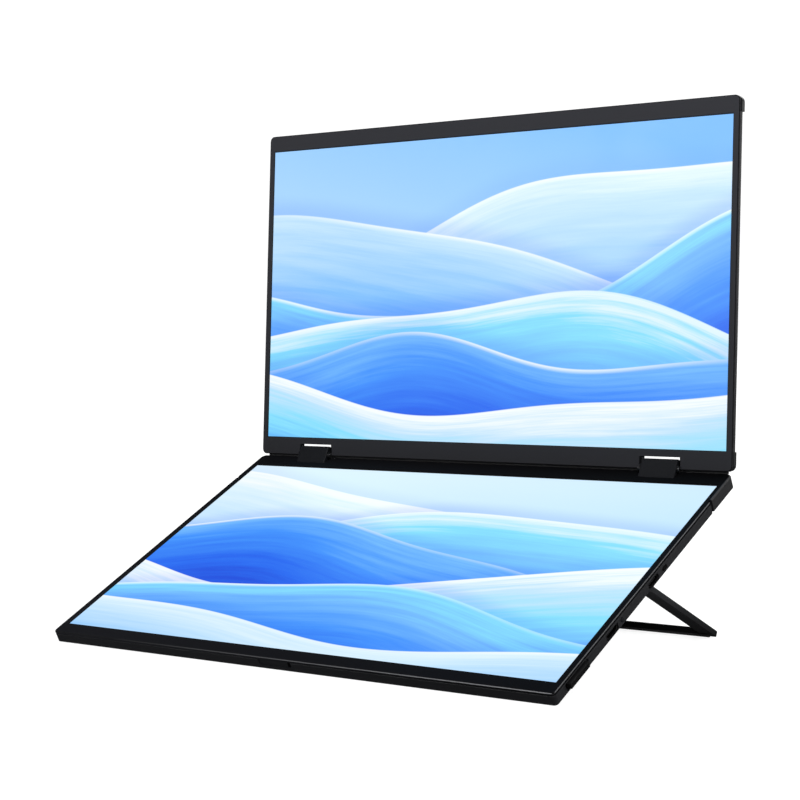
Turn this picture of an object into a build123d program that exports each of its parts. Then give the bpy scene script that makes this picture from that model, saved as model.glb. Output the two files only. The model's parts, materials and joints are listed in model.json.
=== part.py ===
import os
from math import cos, radians, sin

from build123d import *

os.makedirs("parts", exist_ok=True)

# ---------------------------------------------------------------- driving dimensions (mm)
# Stance: the lower screen falls towards its front edge, the upper one leans back.
LOWER_TILT = 23.0
UPPER_LEAN = 6.2
STAND_DROP = 27.67          # fall of the stand legs towards the rear
# Line where the planes of the two screen faces meet, and the middle of the screens across it
HINGE_X, HINGE_Y, HINGE_Z = -0.65, 84.4263, 90.97

# Both screens: a 15.6 inch wide-format panel in a narrow frame
PANEL_W = 352.8
ACTIVE_W, ACTIVE_H = 344.2, 193.6
WINDOW_W, WINDOW_H = ACTIVE_W + 0.8, ACTIVE_H + 0.8
CELL_W, CELL_H = 348.4, 198.4
POCKET_W, POCKET_H = 349.0, 199.0
CORNER_R = 3.4
FRONT_R, REAR_R = 2.2, 4.0  # corners of the lower screen
UNDER_R = 2.6               # rear edge of its underside
EDGE_CHAMFER = 0.6
SEAM = 0.15                 # bevel on both sides of the parting line
SIDE = PANEL_W / 2

# Lower screen, measured along its face from the hinge line to its front edge
LOW_REAR, LOW_FRONT = -1.5, 214.9
LOW_ACTIVE_CY = -108.4
LOW_D = LOW_FRONT - LOW_REAR
LOW_CY = -(LOW_REAR + LOW_FRONT) / 2
LOW_T = 7.6                 # whole thickness
LOW_SPLIT = 2.0             # height of the bezel frame above the parting line
LOW_LIP = 0.8               # lip of the bezel over the cell
LOW_WALL, LOW_FLOOR = 1.7, 1.0

# Upper screen, measured up its face from the hinge line
UP_BOTTOM, UP_TOP = 1.66, 217.9
UP_H = UP_TOP - UP_BOTTOM
UP_CY = (UP_BOTTOM + UP_TOP) / 2
UP_ACTIVE_CY = 110.25
UP_T = 4.2
UP_SPLIT = 1.4
UP_LIP = 0.7
UP_WALL, UP_FLOOR = 1.5, 0.8
UP_GROOVE = (0.45, 0.35)    # width and depth of the groove along the parting line
UP_SKIRT, UP_SKIRT_Z = 0.30, 2.8   # lower edge of the back cover, hanging behind the bezel's

# Hinges
AXIS_U = (1.9, -0.4)        # hinge axis in the upper screen: up its face, out of its face
NOTCH_IN, NOTCH_OUT, NOTCH_TOP = 116.0, 143.3, 8.95
KNUCKLE_IN, KNUCKLE_OUT, KNUCKLE_R = 118.3, 141.8, 5.9
KNUCKLE_TOE, KNUCKLE_BASE = 6.2, 5.4
KNUCKLE_CREST = 18.7        # where the sloping face meets the barrel, degrees behind its top
EAR_T, EAR_OUT_T, EAR_R = 1.5, 0.8, 2.75   # inner and outer ear
SHAFT_R, SHAFT_GAP = 2.0, 0.05

# Stand
PIVOT_S, PIVOT_DROP = 102.7, 2.8    # from the hinge line, and below the underside
LEG_OUT, LEG_W = 172.2, 8.6
LEG_TOP, LEG_LOW = 1.4, -2.2        # faces of the legs above and below the pivot
LEG_MID, NOSE = (LEG_TOP + LEG_LOW) / 2, (LEG_TOP - LEG_LOW) / 2
BAR_W = 5.6
EYE_R, PIN_R, PIN_GAP = 2.6, 1.2, 0.05
FOOT_CLEAR = 0.12           # rounded end above the floor, taken up by the rubber strip
FOOT_T = 1.0

# Right-hand side, measured from the front edge
SIDE_Z = -4.85
ROCKER_U, ROCKER_L, ROCKER_H, ROCKER_Z, ROCKER_OUT = 22.75, 20.0, 3.3, -4.5, 2.0
PIVOT_X, PIVOT_TOP, PIVOT_LOW = 174.9, -2.3, -6.75   # pivot of the rocker, upright in the wall
HDMI_U, LENS_U, USB_U, POWER_U = 61.6, 72.7, 110.1, 123.5
SPEAKER_X = 78.0
SCOOP_X, SCOOP_W, SCOOP_H, SCOOP_Z, SCOOP_DEPTH = -3.5, 23.0, 3.8, -3.5, 0.55
SCOOP_END, SCOOP_END_W, SCOOP_END_DEPTH = 10.0, 2.8, 1.5   # deep end of the scoop

# ---------------------------------------------------------------- reference planes
a, b, g = radians(LOWER_TILT), radians(UPPER_LEAN), radians(STAND_DROP)
LOW = Plane(origin=(HINGE_X, HINGE_Y, HINGE_Z), x_dir=(1, 0, 0), z_dir=(0, -sin(a), cos(a)))
UPP = Plane(origin=(HINGE_X, HINGE_Y, HINGE_Z), x_dir=(1, 0, 0), z_dir=(0, -cos(b), sin(b)))
MID = Plane(origin=(HINGE_X, 0, 0), x_dir=(0, 1, 0), z_dir=(1, 0, 0))
AXIS_W = UPP.from_local_coords(Vector(0, AXIS_U[0], AXIS_U[1]))
AXIS_L = LOW.to_local_coords(AXIS_W)
PIVOT_L = (-PIVOT_S, -(LOW_T + PIVOT_DROP))
PIVOT_W = LOW.from_local_coords(Vector(0, PIVOT_L[0], PIVOT_L[1]))
STD = Plane(origin=PIVOT_W, x_dir=(1, 0, 0), z_dir=(0, sin(g), cos(g)))
NOSE_S = (PIVOT_W.Z + LEG_MID * cos(g) - NOSE - FOOT_CLEAR) / sin(g)   # middle of the rounded end
LEG_L = NOSE_S + NOSE
LEG_IN = LEG_OUT - LEG_W


def low_section(x):
    """Section across the lower screen: rearwards along its face, out of its face."""
    return Plane(origin=LOW.from_local_coords(Vector(x, 0, 0)), x_dir=LOW.y_dir, z_dir=(1, 0, 0))


def upp_section(x):
    """Section across the upper screen: up its face, out of its face."""
    return Plane(origin=UPP.from_local_coords(Vector(x, 0, 0)), x_dir=UPP.y_dir, z_dir=(1, 0, 0))


def std_section(x):
    """Section across the stand: along the legs, out of their upper face."""
    return Plane(origin=STD.from_local_coords(Vector(x, 0, 0)), x_dir=STD.y_dir, z_dir=(1, 0, 0))


def from_front(u):
    return -LOW_FRONT + u


LOW_UP = Axis(LOW.origin, LOW.z_dir)
UPP_UP = Axis(UPP.origin, UPP.z_dir)
FRONT_FACE = Plane(origin=LOW.from_local_coords(Vector(SCOOP_X, -LOW_FRONT, SCOOP_Z)),
                   x_dir=(1, 0, 0), z_dir=-LOW.y_dir)

LOW_SCREWS = ([(x, -4.6) for x in (-158, -98, -33, 33, 98, 158)]
              + [(x, -211.4) for x in (-163, -72, 0, 72, 163)])
UPP_SCREWS = ([(x, 213.3) for x in (-150, -75, 0, 75, 150)]
              + [(x, 6.2) for x in (-156, -108, 108, 156)])

# ================================================================ lower screen
# Outline of the lower screen seen square to its face
with BuildSketch() as low_shape:
    with Locations((0, LOW_CY)):
        Rectangle(PANEL_W, LOW_D)
    fillet(low_shape.vertices().sort_by(Axis.Y)[:2], FRONT_R)
    fillet(low_shape.vertices().sort_by(Axis.Y)[-2:], REAR_R)

# Rear corner caps: let into both sides, with a slot ahead of them
CAP_U, CAP_SLOT, CAP_T = 187.0, 2.4, 1.2
CAP_REAR = 3.0

with BuildPart() as lower_front_bezel:
    with BuildSketch(LOW):
        add(low_shape.sketch)
    extrude(amount=-LOW_SPLIT)
    chamfer(lower_front_bezel.faces().sort_by(LOW_UP)[-1].edges(), EDGE_CHAMFER)
    chamfer(lower_front_bezel.faces().sort_by(LOW_UP)[0].edges(), SEAM)
    with BuildSketch(LOW):
        with Locations((SIDE - CAP_T + 1.5, (CAP_REAR + from_front(CAP_U - CAP_SLOT)) / 2),
                       (-SIDE + CAP_T - 1.5, (CAP_REAR + from_front(CAP_U - CAP_SLOT)) / 2)):
            Rectangle(3.0, CAP_REAR - from_front(CAP_U - CAP_SLOT))
    extrude(amount=-LOW_SPLIT, mode=Mode.SUBTRACT)
    with BuildSketch(LOW):
        with Locations((0, LOW_ACTIVE_CY)):
            Rectangle(WINDOW_W, WINDOW_H)
    extrude(amount=-LOW_SPLIT, mode=Mode.SUBTRACT)
    window_rim = lower_front_bezel.faces().sort_by(LOW_UP)[-1].inner_wires()[0].edges()
    chamfer(window_rim, 0.35)
    with BuildSketch(LOW.offset(-LOW_LIP)):
        with Locations((0, LOW_ACTIVE_CY)):
            Rectangle(POCKET_W, POCKET_H)
    extrude(amount=-(LOW_SPLIT - LOW_LIP), mode=Mode.SUBTRACT)
    # seats of the two hinge knuckles in the rear edge
    with BuildSketch(LOW):
        for side in (-1, 1):
            with Locations((side * (KNUCKLE_IN + KNUCKLE_OUT) / 2, (2.0 - KNUCKLE_TOE - 0.15) / 2)):
                Rectangle(KNUCKLE_OUT - KNUCKLE_IN + 0.3, KNUCKLE_TOE + 2.15)
    extrude(amount=-LOW_SPLIT, mode=Mode.SUBTRACT)
    # room beside them for the ears that turn with the upper screen
    with BuildSketch(LOW):
        for side in (-1, 1):
            with Locations((side * (NOTCH_IN + NOTCH_OUT) / 2, 0.05)):
                Rectangle(NOTCH_OUT - NOTCH_IN - 0.4, 3.5)
    extrude(amount=-1.6, mode=Mode.SUBTRACT)
    # finger scoop in the front edge
    with BuildSketch(FRONT_FACE):
        RectangleRounded(SCOOP_W, SCOOP_H, 0.8)
    extrude(amount=-SCOOP_DEPTH, mode=Mode.SUBTRACT)
    with BuildSketch(FRONT_FACE):
        with Locations((SCOOP_END, 0)):
            RectangleRounded(SCOOP_END_W, SCOOP_H - 0.4, 0.6)
    extrude(amount=-SCOOP_END_DEPTH, mode=Mode.SUBTRACT)
    # screw holes from below
    with BuildSketch(LOW.offset(-LOW_SPLIT)):
        with Locations(*LOW_SCREWS):
            Circle(0.85)
    extrude(amount=LOW_SPLIT - 1.0, mode=Mode.SUBTRACT)
lower_front_bezel.part.label = "lower_front_bezel"
export_step(lower_front_bezel.part, "parts/lower_front_bezel.step")

with BuildPart() as lower_back_cover:
    with BuildSketch(LOW.offset(-LOW_SPLIT)):
        add(low_shape.sketch)
    extrude(amount=-(LOW_T - LOW_SPLIT))
    fillet(lower_back_cover.faces().sort_by(LOW_UP)[0].edges(), 0.35)
    chamfer(lower_back_cover.faces().sort_by(LOW_UP)[-1].edges(), SEAM)
    # rounded rear edge of the underside
    with BuildSketch(low_section(-SIDE - 1.0)):
        with Locations((-LOW_REAR - UNDER_R / 2 + 0.5, -LOW_T + UNDER_R / 2 - 0.5)):
            Rectangle(UNDER_R + 1.0, UNDER_R + 1.0)
        with Locations((-LOW_REAR - UNDER_R, -LOW_T + UNDER_R)):
            Circle(UNDER_R, mode=Mode.SUBTRACT)
    extrude(amount=PANEL_W + 2.0, mode=Mode.SUBTRACT)
    with BuildSketch(LOW.offset(-LOW_SPLIT)):
        with Locations((SIDE - CAP_T + 1.5, (CAP_REAR + from_front(CAP_U - CAP_SLOT)) / 2),
                       (-SIDE + CAP_T - 1.5, (CAP_REAR + from_front(CAP_U - CAP_SLOT)) / 2)):
            Rectangle(3.0, CAP_REAR - from_front(CAP_U - CAP_SLOT))
    extrude(amount=-(LOW_T - LOW_SPLIT), mode=Mode.SUBTRACT)
    with BuildSketch(LOW.offset(-LOW_SPLIT)):
        with Locations((0, LOW_CY)):
            RectangleRounded(PANEL_W - 2 * LOW_WALL, LOW_D - 2 * LOW_WALL, 1.6)
    extrude(amount=-(LOW_T - LOW_SPLIT - LOW_FLOOR), mode=Mode.SUBTRACT)
    # thicker wall behind the deep end of the finger scoop
    with BuildSketch(LOW.offset(-LOW_SPLIT)):
        with Locations((SCOOP_X + SCOOP_END, -LOW_FRONT + 2.3)):
            Rectangle(SCOOP_END_W + 3.0, 1.6)
    extrude(amount=-(LOW_T - LOW_SPLIT - LOW_FLOOR))
    # screw posts, with their counterbored holes
    with BuildSketch(LOW.offset(-LOW_SPLIT)):
        with Locations(*LOW_SCREWS):
            Circle(2.2)
    extrude(amount=-(LOW_T - LOW_SPLIT - LOW_FLOOR))
    with BuildSketch(LOW.offset(-LOW_SPLIT)):
        with Locations(*LOW_SCREWS):
            Circle(0.9)
    extrude(amount=-(LOW_T - LOW_SPLIT), mode=Mode.SUBTRACT)
    with BuildSketch(LOW.offset(-LOW_T)):
        with Locations(*LOW_SCREWS):
            Circle(2.0)
    extrude(amount=0.7, mode=Mode.SUBTRACT)
    # seats of the two hinge knuckles in the rear wall
    with BuildSketch(LOW.offset(-LOW_SPLIT)):
        for side in (-1, 1):
            with Locations((side * (KNUCKLE_IN + KNUCKLE_OUT) / 2, (2.0 - KNUCKLE_TOE - 0.15) / 2)):
                Rectangle(KNUCKLE_OUT - KNUCKLE_IN + 0.3, KNUCKLE_TOE + 2.15)
    extrude(amount=-(KNUCKLE_BASE + 0.1 - LOW_SPLIT), mode=Mode.SUBTRACT)
    # finger scoop in the front edge
    with BuildSketch(FRONT_FACE):
        RectangleRounded(SCOOP_W, SCOOP_H, 0.8)
    extrude(amount=-SCOOP_DEPTH, mode=Mode.SUBTRACT)
    with BuildSketch(FRONT_FACE):
        with Locations((SCOOP_END, 0)):
            RectangleRounded(SCOOP_END_W, SCOOP_H - 0.4, 0.6)
    extrude(amount=-SCOOP_END_DEPTH, mode=Mode.SUBTRACT)
    # openings in the right-hand wall: sockets, status light and keys
    with BuildSketch(low_section(SIDE)):
        with Locations((from_front(USB_U), SIDE_Z - 0.2)):
            SlotOverall(12.2, 3.86)
        with Locations((from_front(HDMI_U), SIDE_Z - 0.2)):
            RectangleRounded(13.2, 3.8, 0.6)
        with Locations((from_front(LENS_U), SIDE_Z)):
            Circle(1.35)
        with Locations((from_front(POWER_U), SIDE_Z)):
            SlotOverall(5.1, 2.4)
        with Locations((from_front(ROCKER_U), ROCKER_Z)):
            RectangleRounded(ROCKER_L + 0.9, ROCKER_H + 0.5, 1.2)
    extrude(amount=-LOW_WALL, mode=Mode.SUBTRACT)
    with BuildSketch(low_section(SIDE)):
        with Locations((from_front(ROCKER_U), ROCKER_Z)):
            RectangleRounded(ROCKER_L + 4.5, ROCKER_H + 1.0, 1.6)
    extrude(amount=-0.8, mode=Mode.SUBTRACT)
    # bearing holes of the rocker's pivot, above and below its opening
    with BuildSketch(LOW.offset(PIVOT_TOP + 0.1)):
        with Locations((PIVOT_X, from_front(ROCKER_U))):
            Circle(0.66)
    extrude(amount=-(PIVOT_TOP - PIVOT_LOW + 0.2), mode=Mode.SUBTRACT)
    # thinned floor under the two sockets
    with BuildSketch(LOW.offset(-(LOW_T - LOW_FLOOR))):
        with Locations((SIDE - 5.2, from_front(USB_U))):
            Rectangle(7.4, 9.5)
        with Locations((SIDE - 5.2, from_front(HDMI_U))):
            Rectangle(7.4, 11.7)
    extrude(amount=-0.6, mode=Mode.SUBTRACT)
    # sound slots of the two speakers in the floor
    with BuildSketch(LOW.offset(-LOW_T)):
        for side in (-1, 1):
            with Locations((side * SPEAKER_X, from_front(58.0))):
                with GridLocations(3.2, 0, 8, 1):
                    SlotOverall(9.0, 1.2, rotation=90)
    extrude(amount=LOW_FLOOR, mode=Mode.SUBTRACT)
lower_back_cover.part.label = "lower_back_cover"
export_step(lower_back_cover.part, "parts/lower_back_cover.step")

with BuildPart() as lower_lcd_cell:
    with BuildSketch(LOW.offset(-0.85)):
        with Locations((0, LOW_ACTIVE_CY)):
            Rectangle(CELL_W, CELL_H)
    extrude(amount=-1.0)
lower_lcd_cell.part.label = "lower_lcd_cell"
export_step(lower_lcd_cell.part, "parts/lower_lcd_cell.step")

with BuildPart() as lower_backlight:
    with BuildSketch(LOW.offset(-1.9)):
        with Locations((0, LOW_ACTIVE_CY + 2.0)):
            Rectangle(CELL_W - 0.6, CELL_H - 4.6)
    extrude(amount=-0.95)
lower_backlight.part.label = "lower_backlight"
export_step(lower_backlight.part, "parts/lower_backlight.step")

with BuildPart() as lower_led_bar:
    with BuildSketch(LOW.offset(-1.9)):
        with Locations((0, LOW_ACTIVE_CY - CELL_H / 2 + 2.0)):
            Rectangle(CELL_W - 8, 3.2)
    extrude(amount=-0.95)
lower_led_bar.part.label = "lower_led_bar"
export_step(lower_led_bar.part, "parts/lower_led_bar.step")

with BuildPart() as lower_chassis_plate:
    with BuildSketch(LOW.offset(-2.9)):
        with Locations((0, LOW_ACTIVE_CY)):
            RectangleRounded(CELL_W - 0.6, CELL_H - 0.6, 2.0)
    extrude(amount=-0.3)
lower_chassis_plate.part.label = "lower_chassis_plate"
export_step(lower_chassis_plate.part, "parts/lower_chassis_plate.step")

BOARD_TOP, BOARD_T = -5.0, 0.7
BOARD_SCREWS = [(104.5, from_front(46.5)), (104.5, from_front(129.5)),
                (150.0, from_front(46.5)), (150.0, from_front(129.5))]
with BuildPart() as main_board:
    with BuildSketch(LOW.offset(BOARD_TOP)):
        with Locations((136.7, from_front(88.0))):
            RectangleRounded(73.4, 92.0, 1.5)
        with Locations((SIDE - 4.4, from_front(USB_U))):
            Rectangle(7.8, 9.4, mode=Mode.SUBTRACT)
        with Locations((SIDE - 4.4, from_front(HDMI_U))):
            Rectangle(7.8, 11.6, mode=Mode.SUBTRACT)
        with Locations(*BOARD_SCREWS):
            Circle(0.85, mode=Mode.SUBTRACT)
    extrude(amount=-BOARD_T)
main_board.part.label = "main_board"
export_step(main_board.part, "parts/main_board.step")

with BuildPart() as board_chips:
    with BuildSketch(LOW.offset(BOARD_TOP)):
        with Locations((132.0, from_front(88.0))):
            Rectangle(14.0, 14.0)
        with Locations((112.0, from_front(70.0)), (112.0, from_front(104.0))):
            Rectangle(7.0, 7.0)
        with Locations((155.0, from_front(64.0)), (155.0, from_front(108.0))):
            Rectangle(9.0, 5.0)
        with Locations((150.0, from_front(84.0)), (150.0, from_front(94.0))):
            Rectangle(5.0, 5.0)
    extrude(amount=1.1)
board_chips.part.label = "board_chips"
export_step(board_chips.part, "parts/board_chips.step")

with BuildPart() as board_screws:
    with BuildSketch(LOW.offset(BOARD_TOP)):
        with Locations(*BOARD_SCREWS):
            Circle(1.5)
    extrude(amount=0.6)
    with BuildSketch(LOW.offset(BOARD_TOP)):
        with Locations(*BOARD_SCREWS):
            Circle(0.75)
    extrude(amount=-0.85)
board_screws.part.label = "board_screws"
export_step(board_screws.part, "parts/board_screws.step")

with BuildPart() as key_board:
    with BuildSketch(LOW.offset(BOARD_TOP)):
        with Locations((169.6, from_front(23.0))):
            RectangleRounded(7.0, 30.0, 0.6)
        with Locations((167.6, from_front(39.8))):
            Rectangle(3.0, 4.0)
    extrude(amount=-BOARD_T)
key_board.part.label = "key_board"
export_step(key_board.part, "parts/key_board.step")

with BuildPart() as push_switches:
    with BuildSketch(LOW.offset(BOARD_TOP)):
        with Locations((171.9, from_front(ROCKER_U - 8.0)), (171.9, from_front(ROCKER_U + 8.0)),
                       (171.9, from_front(POWER_U))):
            RectangleRounded(2.8, 4.2, 0.3)
    extrude(amount=1.3)
push_switches.part.label = "push_switches"
export_step(push_switches.part, "parts/push_switches.step")

with BuildPart() as usb_c_socket:
    mouth = low_section(SIDE - 0.4)
    with BuildSketch(mouth):
        with Locations((from_front(USB_U), SIDE_Z)):
            SlotOverall(8.94, 3.16)
    extrude(amount=-7.3)
    with BuildSketch(mouth):
        with Locations((from_front(USB_U), SIDE_Z)):
            SlotOverall(8.34, 2.56)
    extrude(amount=-6.2, mode=Mode.SUBTRACT)
    with BuildSketch(low_section(SIDE - 1.0)):
        with Locations((from_front(USB_U), SIDE_Z)):
            Rectangle(6.7, 0.7)
    extrude(amount=-6.0)
usb_c_socket.part.label = "usb_c_socket"
export_step(usb_c_socket.part, "parts/usb_c_socket.step")

with BuildPart() as mini_hdmi_socket:
    mouth = low_section(SIDE - 0.4)
    with BuildSketch(mouth):
        with Locations((from_front(HDMI_U), SIDE_Z)):
            RectangleRounded(11.2, 3.1, 0.4)
    extrude(amount=-7.3)
    with BuildSketch(mouth):
        with BuildLine():
            Polyline((from_front(HDMI_U) - 5.2, SIDE_Z + 1.2), (from_front(HDMI_U) + 5.2, SIDE_Z + 1.2),
                     (from_front(HDMI_U) + 5.2, SIDE_Z - 0.2), (from_front(HDMI_U) + 4.2, SIDE_Z - 1.2),
                     (from_front(HDMI_U) - 4.2, SIDE_Z - 1.2), (from_front(HDMI_U) - 5.2, SIDE_Z - 0.2),
                     close=True)
        make_face()
    extrude(amount=-6.2, mode=Mode.SUBTRACT)
    with BuildSketch(low_section(SIDE - 1.2)):
        with Locations((from_front(HDMI_U), SIDE_Z + 0.1)):
            Rectangle(8.0, 0.6)
    extrude(amount=-6.0)
mini_hdmi_socket.part.label = "mini_hdmi_socket"
export_step(mini_hdmi_socket.part, "parts/mini_hdmi_socket.step")

with BuildPart() as status_lens:
    with BuildSketch(low_section(SIDE + 0.5)):
        with Locations((from_front(LENS_U), SIDE_Z)):
            Circle(1.3)
    extrude(amount=-2.2)
    fillet(status_lens.faces().sort_by(Axis.X)[-1].edges(), 0.45)
status_lens.part.label = "status_lens"
export_step(status_lens.part, "parts/status_lens.step")

with BuildPart() as speakers:
    for x in (-SPEAKER_X, SPEAKER_X):
        with BuildSketch(LOW.offset(-3.6)):
            with Locations((x, from_front(58.0))):
                RectangleRounded(34.0, 15.0, 2.0)
                RectangleRounded(30.0, 11.0, 2.0, mode=Mode.SUBTRACT)
        extrude(amount=-(LOW_T - LOW_FLOOR - 3.65))
        with BuildSketch(LOW.offset(-3.6)):
            with Locations((x, from_front(58.0))):
                RectangleRounded(30.4, 11.4, 2.0)
        extrude(amount=-1.0)
speakers.part.label = "speakers"
export_step(speakers.part, "parts/speakers.step")

with BuildPart() as lower_driver_board:
    with BuildSketch(LOW.offset(-4.0)):
        with Locations((-45.0, from_front(16.0))):
            RectangleRounded(190.0, 11.0, 1.0)
    extrude(amount=-0.6)
lower_driver_board.part.label = "lower_driver_board"
export_step(lower_driver_board.part, "parts/lower_driver_board.step")

with BuildPart() as lower_display_flex:
    with BuildSketch(LOW.offset(-3.3)):
        with Locations((-45.0, from_front(24.0))):
            Rectangle(46.0, 22.0)
    extrude(amount=-0.2)
lower_display_flex.part.label = "lower_display_flex"
export_step(lower_display_flex.part, "parts/lower_display_flex.step")

with BuildPart() as display_cable_lower:
    with BuildSketch(LOW.offset(-3.95)):
        with Locations((129.0, (-6.4 + from_front(128.0)) / 2)):
            Rectangle(6.0, -6.4 - from_front(128.0))
    extrude(amount=-0.5)
display_cable_lower.part.label = "display_cable_lower"
export_step(display_cable_lower.part, "parts/display_cable_lower.step")

with BuildPart() as rear_corner_caps:
    with BuildSketch(LOW):
        add(low_shape.sketch)
    extrude(amount=-LOW_T)
    chamfer(rear_corner_caps.faces().sort_by(LOW_UP)[-1].edges(), EDGE_CHAMFER)
    fillet(rear_corner_caps.faces().sort_by(LOW_UP)[0].edges(), 0.35)
    # rounded rear edge of the underside
    with BuildSketch(low_section(-SIDE - 1.0)):
        with Locations((-LOW_REAR - UNDER_R / 2 + 0.5, -LOW_T + UNDER_R / 2 - 0.5)):
            Rectangle(UNDER_R + 1.0, UNDER_R + 1.0)
        with Locations((-LOW_REAR - UNDER_R, -LOW_T + UNDER_R)):
            Circle(UNDER_R, mode=Mode.SUBTRACT)
    extrude(amount=PANEL_W + 2.0, mode=Mode.SUBTRACT)
    with BuildSketch(LOW):
        with Locations((SIDE - CAP_T + 0.04 + 1.5, (CAP_REAR + from_front(CAP_U)) / 2),
                       (-SIDE + CAP_T - 0.04 - 1.5, (CAP_REAR + from_front(CAP_U)) / 2)):
            Rectangle(3.0, CAP_REAR - from_front(CAP_U))
    extrude(amount=-LOW_T, mode=Mode.INTERSECT)
rear_corner_caps.part.label = "rear_corner_caps"
export_step(rear_corner_caps.part, "parts/rear_corner_caps.step")

with BuildPart() as front_foot_pads:
    with BuildSketch(LOW.offset(-LOW_T)):
        with Locations((120.0, from_front(4.2)), (-120.0, from_front(4.2))):
            Rectangle(60.0, 5.2)
    extrude(amount=-1.7)
    # the pads stand flat on the floor
    with BuildSketch(Plane.XY):
        with Locations((0, HINGE_Y - 195.0)):
            Rectangle(400.0, 40.0)
    extrude(amount=-10.0, mode=Mode.SUBTRACT)
front_foot_pads.part.label = "front_foot_pads"
export_step(front_foot_pads.part, "parts/front_foot_pads.step")

with BuildPart() as lower_cover_screws:
    with BuildSketch(LOW.offset(-LOW_T + 0.05)):
        with Locations(*LOW_SCREWS):
            Circle(1.85)
    extrude(amount=0.6)
    with BuildSketch(LOW.offset(-LOW_T + 0.65)):
        with Locations(*LOW_SCREWS):
            Circle(0.8)
    extrude(amount=LOW_T - 0.65 - 1.1)
    with BuildSketch(LOW.offset(-LOW_T + 0.05)):
        with Locations(*LOW_SCREWS):
            Rectangle(2.0, 0.45)
            Rectangle(0.45, 2.0)
    extrude(amount=0.35, mode=Mode.SUBTRACT)
lower_cover_screws.part.label = "lower_cover_screws"
export_step(lower_cover_screws.part, "parts/lower_cover_screws.step")

# ---------------------------------------------------------------- hinges, lower half
# Toe of the knuckle on the lower bezel, and the crest where its flat sloping face meets the barrel.
toe = (-KNUCKLE_TOE, 0.0)
crest = (AXIS_L.Y + KNUCKLE_R * sin(radians(KNUCKLE_CREST)), AXIS_L.Z + KNUCKLE_R * cos(radians(KNUCKLE_CREST)))
under = (AXIS_L.Y, AXIS_L.Z - KNUCKLE_R)

with BuildPart() as hinge_knuckles:
    with BuildSketch(low_section(KNUCKLE_IN)) as knuckle_shape:
        with BuildLine():
            Line(toe, crest)
            ThreePointArc(crest, (AXIS_L.Y + KNUCKLE_R, AXIS_L.Z), under)
            Polyline(under, (-LOW_REAR + 0.15, -KNUCKLE_BASE), (-KNUCKLE_TOE, -KNUCKLE_BASE), toe)
        make_face()
        fillet(knuckle_shape.vertices().sort_by(Axis.Y)[-1], 0.7)
    extrude(amount=KNUCKLE_OUT - KNUCKLE_IN)
    chamfer(hinge_knuckles.faces().sort_by(Axis.X)[-1].edges(), 0.4)
    chamfer(hinge_knuckles.faces().sort_by(Axis.X)[0].edges(), 0.4)
    with BuildSketch(low_section(KNUCKLE_IN)):
        with Locations((AXIS_L.Y, AXIS_L.Z)):
            Circle(SHAFT_R + 0.02)
    extrude(amount=KNUCKLE_OUT - KNUCKLE_IN, mode=Mode.SUBTRACT)
    mirror(about=MID)
hinge_knuckles.part.label = "hinge_knuckles"
export_step(hinge_knuckles.part, "parts/hinge_knuckles.step")

with BuildPart() as hinge_shafts:
    with BuildSketch(low_section(NOTCH_IN + 0.2)):
        with Locations((AXIS_L.Y, AXIS_L.Z)):
            Circle(SHAFT_R)
    extrude(amount=NOTCH_OUT - NOTCH_IN - 0.4)
    mirror(about=MID)
hinge_shafts.part.label = "hinge_shafts"
export_step(hinge_shafts.part, "parts/hinge_shafts.step")

with BuildPart() as hinge_lower_leaves:
    with BuildSketch(LOW.offset(-4.6)):
        with Locations(((KNUCKLE_IN + KNUCKLE_OUT) / 2, -(KNUCKLE_TOE + 28.0) / 2)):
            RectangleRounded(30.0, 28.0 - KNUCKLE_TOE, 0.8)
            with GridLocations(18.0, 10.0, 2, 2):
                Circle(1.1, mode=Mode.SUBTRACT)
    extrude(amount=-1.2)
    mirror(about=MID)
hinge_lower_leaves.part.label = "hinge_lower_leaves"
export_step(hinge_lower_leaves.part, "parts/hinge_lower_leaves.step")

# ---------------------------------------------------------------- stand pivots on the underside
with BuildPart() as stand_pivot_lugs:
    with BuildSketch(low_section(LEG_IN - 0.4)):
        with Locations(PIVOT_L):
            Circle(EYE_R)
        with BuildLine():
            Polyline((PIVOT_L[0] - 5.5, -LOW_T), (PIVOT_L[0] + 5.5, -LOW_T),
                     (PIVOT_L[0] + 2.45, PIVOT_L[1] - 0.85), (PIVOT_L[0] - 2.45, PIVOT_L[1] - 0.85),
                     close=True)
        make_face()
    extrude(amount=-7.0)
    with BuildSketch(low_section(LEG_IN)):
        with Locations(PIVOT_L):
            Circle(PIN_R + 0.02)
    extrude(amount=-8.0, mode=Mode.SUBTRACT)
    mirror(about=MID)
stand_pivot_lugs.part.label = "stand_pivot_lugs"
export_step(stand_pivot_lugs.part, "parts/stand_pivot_lugs.step")

with BuildPart() as stand_pivot_pins:
    with BuildSketch(low_section(LEG_OUT - 0.6)):
        with Locations(PIVOT_L):
            Circle(PIN_R)
    extrude(amount=-(LEG_W + 0.4 + 7.0 - 0.9))
    mirror(about=MID)
stand_pivot_pins.part.label = "stand_pivot_pins"
export_step(stand_pivot_pins.part, "parts/stand_pivot_pins.step")

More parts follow.
